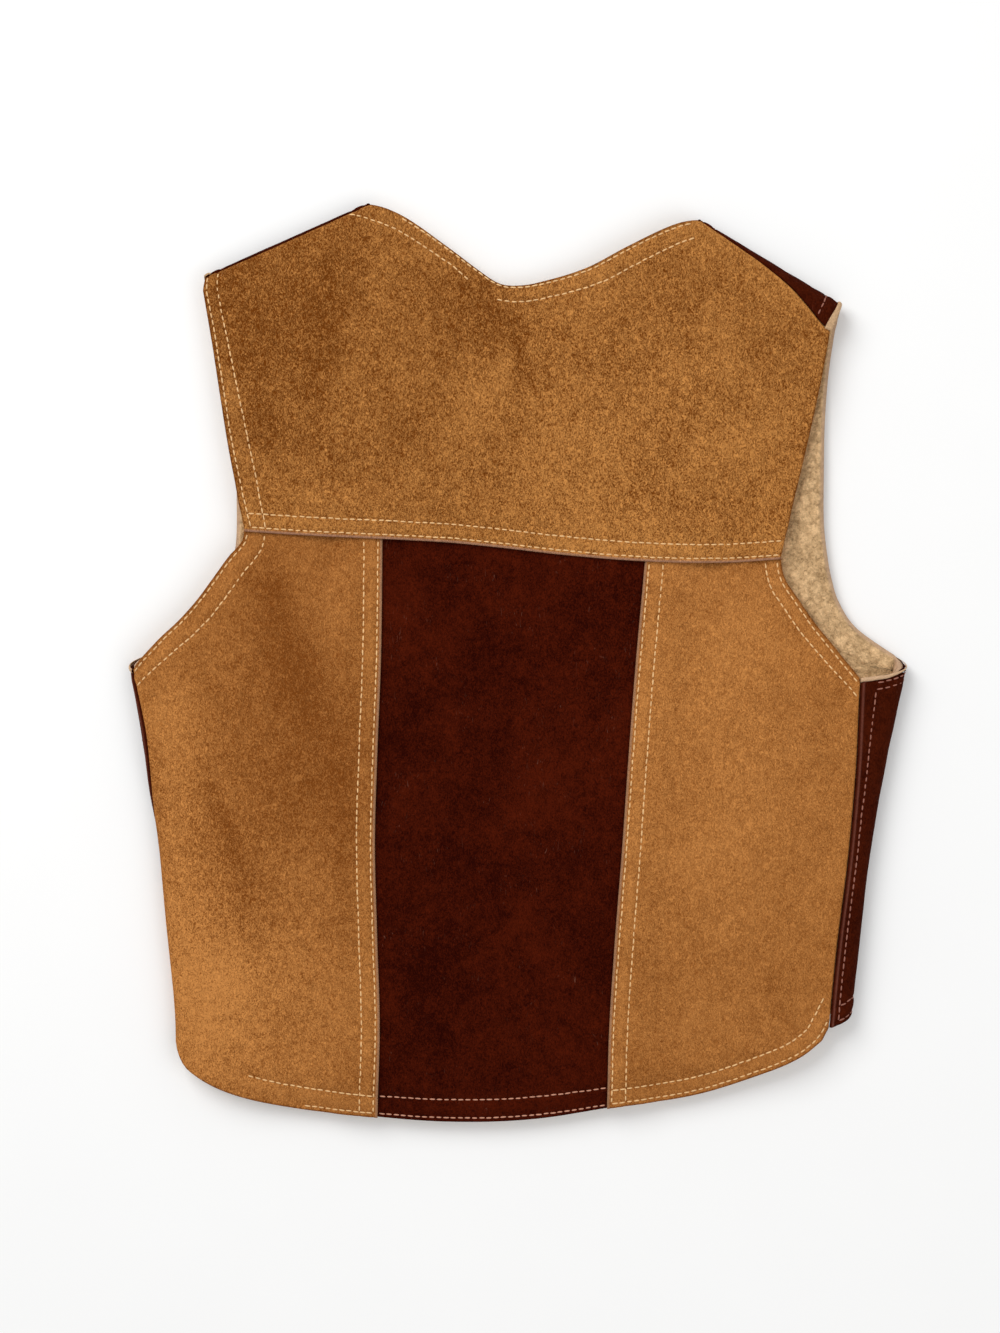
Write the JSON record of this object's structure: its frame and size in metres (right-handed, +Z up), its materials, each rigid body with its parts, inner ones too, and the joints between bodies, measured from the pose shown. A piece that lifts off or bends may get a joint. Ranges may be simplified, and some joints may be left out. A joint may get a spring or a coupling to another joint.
{
  "type": "western vest",
  "caption": "Child's suede western vest with a curly pile lining, laid flat on its front, with a lapped back yoke over a dark centre panel and tan side panels.",
  "frame": {"origin": "centre of the bounding box, on the surface that the vest lies on", "axes": "+Z up off the surface, +Y from the hem to the neck, +X across the back to the wearer's right"},
  "size_m": [0.3822, 0.4502, 0.0177],
  "materials": {
    "caramel_suede": "brushed split suede, matt, caramel tan with a coarse nap",
    "tan_suede": "brushed split suede, matt, light tan with a fine nap",
    "oxblood_suede": "brushed split suede, matt, dark oxblood brown",
    "brown_suede": "brushed split suede, matt, dark brown",
    "cream_pile": "cream curly pile"
  },
  "bodies": {
    "root": {"back_yoke": "caramel_suede", "back_centre": "oxblood_suede", "back_side_left": "tan_suede", "back_side_right": "tan_suede", "front_left": "brown_suede", "front_right": "brown_suede", "lining_back": "cream_pile", "lining_front_left": "cream_pile", "lining_front_right": "cream_pile"}
  },
  "joints": []
}
